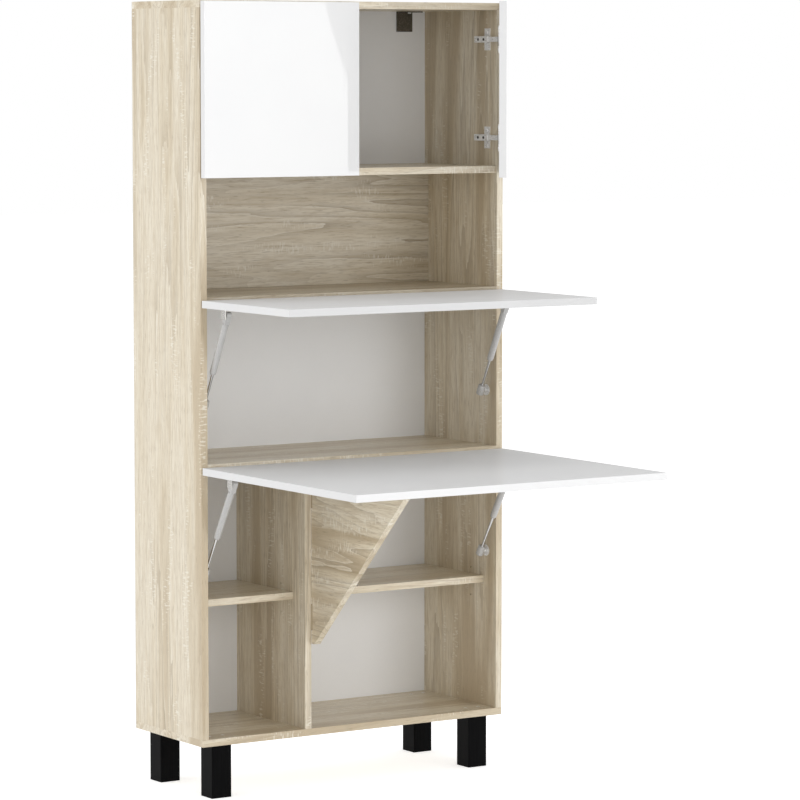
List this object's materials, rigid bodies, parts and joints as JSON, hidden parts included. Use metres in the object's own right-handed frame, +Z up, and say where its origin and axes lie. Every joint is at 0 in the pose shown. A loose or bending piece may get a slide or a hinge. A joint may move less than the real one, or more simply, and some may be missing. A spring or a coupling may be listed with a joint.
{
  "type": "secretary cabinet with fold-down desk",
  "caption": "Tall cabinet on legs with doors, an open niche, two lift-up flaps on gas struts, the lower one a desk, and a folding gusset under it.",
  "frame": {"origin": "centre of the footprint of the whole box at rest, on the floor", "axes": "+X to the cabinet's right as seen from the front, +Y to its back, +Z up"},
  "size_m": [0.8017, 0.934, 1.76],
  "materials": {
    "oak_upright": "matt wood decor with vertical grain",
    "oak_level": "matt wood decor with horizontal grain",
    "gloss_white": "high-gloss white lacquer on board",
    "back_board": "white fibreboard",
    "leg_black": "black satin paint",
    "hinge_steel": "nickel plate",
    "bracket_grey": "pale grey paint",
    "strut_grey": "grey satin",
    "rod_steel": "bright steel"
  },
  "bodies": {
    "carcass": {"left_side": "oak_upright", "right_side": "oak_upright", "divider": "oak_upright", "top_panel": "oak_level", "bottom_panel": "oak_level", "door_shelf": "oak_level", "niche_floor": "oak_level", "desk_shelf": "oak_level", "left_shelf": "oak_level", "right_shelf": "oak_level", "niche_back": "oak_level", "back_panel": "back_board", "leg_front_left": "leg_black", "leg_front_right": "leg_black", "leg_rear_left": "leg_black", "leg_rear_right": "leg_black", "left_door_hinge_arms": "hinge_steel", "right_door_hinge_arms": "hinge_steel", "upper_flap_hinge_arms": "hinge_steel", "desk_flap_hinge_arms": "hinge_steel", "hinge_plates": "hinge_steel", "hinge_plate_screws": "hinge_steel", "strut_studs": "hinge_steel", "wall_bracket_left": "hinge_steel", "wall_bracket_right": "hinge_steel", "wall_bracket_screws": "hinge_steel", "shelf_pins": "hinge_steel", "leg_screws": "hinge_steel", "gusset_hinge_fixed_leaves": "hinge_steel"},
    "left_door": {"left_door": "gloss_white", "left_door_hinge_cups": "hinge_steel"},
    "right_door": {"right_door": "gloss_white", "right_door_hinge_cups": "hinge_steel"},
    "upper_flap": {"upper_flap": "gloss_white", "upper_flap_hinge_cups": "hinge_steel", "upper_left_strut_bracket": "bracket_grey", "upper_right_strut_bracket": "bracket_grey"},
    "desk_flap": {"desk_flap": "gloss_white", "desk_flap_hinge_cups": "hinge_steel", "desk_left_strut_bracket": "bracket_grey", "desk_right_strut_bracket": "bracket_grey"},
    "gusset": {"gusset": "oak_level", "gusset_hinge_moving_leaves": "hinge_steel"},
    "upper_left_cylinder": {"upper_left_strut_cylinder": "strut_grey"},
    "upper_left_rod": {"upper_left_strut_rod": "rod_steel"},
    "upper_right_cylinder": {"upper_right_strut_cylinder": "strut_grey"},
    "upper_right_rod": {"upper_right_strut_rod": "rod_steel"},
    "desk_left_cylinder": {"desk_left_strut_cylinder": "strut_grey"},
    "desk_left_rod": {"desk_left_strut_rod": "rod_steel"},
    "desk_right_cylinder": {"desk_right_strut_cylinder": "strut_grey"},
    "desk_right_rod": {"desk_right_strut_rod": "rod_steel"}
  },
  "joints": [
    {"name": "left_door_swing", "type": "hinge", "parent": "carcass", "child": "left_door", "pos_m": [-0.391, 0.152, 1.566], "axis": [0, 0, -1], "range_deg": [0, 95]},
    {"name": "right_door_swing", "type": "hinge", "parent": "carcass", "child": "right_door", "pos_m": [0.391, 0.152, 1.566], "axis": [0, 0, 1], "range_deg": [-55.5, 39.5]},
    {"name": "upper_flap_fold", "type": "hinge", "parent": "carcass", "child": "upper_flap", "pos_m": [0, 0.152, 1.0995], "axis": [1, 0, 0], "range_deg": [0, 90]},
    {"name": "desk_flap_lift", "type": "hinge", "parent": "carcass", "child": "desk_flap", "pos_m": [0, 0.152, 0.7325], "axis": [1, 0, 0], "range_deg": [-6, 0]},
    {"name": "gusset_fold", "type": "hinge", "parent": "carcass", "child": "gusset", "pos_m": [-0.1157, 0.164, 0.5255], "axis": [0, 0, 1], "range_deg": [0, 90]},
    {"name": "upper_left_strut_swing", "type": "hinge", "parent": "upper_flap", "child": "upper_left_cylinder", "pos_m": [-0.368, 0.101, 1.078], "axis": [1, 0, 0], "range_deg": [-106.87, 0.05]},
    {"name": "upper_left_rod_slide", "type": "slide", "parent": "upper_left_cylinder", "child": "upper_left_rod", "axis": [0, 0.449, -0.8936], "range_m": [-0.05139, 0.0001]},
    {"name": "upper_right_strut_swing", "type": "hinge", "parent": "upper_flap", "child": "upper_right_cylinder", "pos_m": [0.368, 0.101, 1.078], "axis": [1, 0, 0], "range_deg": [-106.87, 0.05]},
    {"name": "upper_right_rod_slide", "type": "slide", "parent": "upper_right_cylinder", "child": "upper_right_rod", "axis": [0, 0.449, -0.8936], "range_m": [-0.05139, 0.0001]},
    {"name": "desk_left_strut_swing", "type": "hinge", "parent": "desk_flap", "child": "desk_left_cylinder", "pos_m": [-0.368, 0.077, 0.711], "axis": [1, 0, 0], "range_deg": [-0.05, 5.48]},
    {"name": "desk_left_rod_slide", "type": "slide", "parent": "desk_left_cylinder", "child": "desk_left_rod", "axis": [0, 0.5157, -0.8568], "range_m": [-0.0001, 0.00788]},
    {"name": "desk_right_strut_swing", "type": "hinge", "parent": "desk_flap", "child": "desk_right_cylinder", "pos_m": [0.368, 0.077, 0.711], "axis": [1, 0, 0], "range_deg": [-0.05, 5.48]},
    {"name": "desk_right_rod_slide", "type": "slide", "parent": "desk_right_cylinder", "child": "desk_right_rod", "axis": [0, 0.5157, -0.8568], "range_m": [-0.0001, 0.00788]}
  ],
  "couplings": [
    {"joint": "upper_left_strut_swing", "follows": "upper_flap_fold", "ratio": -1.1869},
    {"joint": "upper_left_rod_slide", "follows": "upper_flap_fold", "m_per_rad": -0.032653},
    {"joint": "upper_right_strut_swing", "follows": "upper_flap_fold", "ratio": -1.1869},
    {"joint": "upper_right_rod_slide", "follows": "upper_flap_fold", "m_per_rad": -0.032653},
    {"joint": "desk_left_strut_swing", "follows": "desk_flap_lift", "ratio": -0.9049},
    {"joint": "desk_left_rod_slide", "follows": "desk_flap_lift", "m_per_rad": -0.074269},
    {"joint": "desk_right_strut_swing", "follows": "desk_flap_lift", "ratio": -0.9049},
    {"joint": "desk_right_rod_slide", "follows": "desk_flap_lift", "m_per_rad": -0.074269}
  ]
}
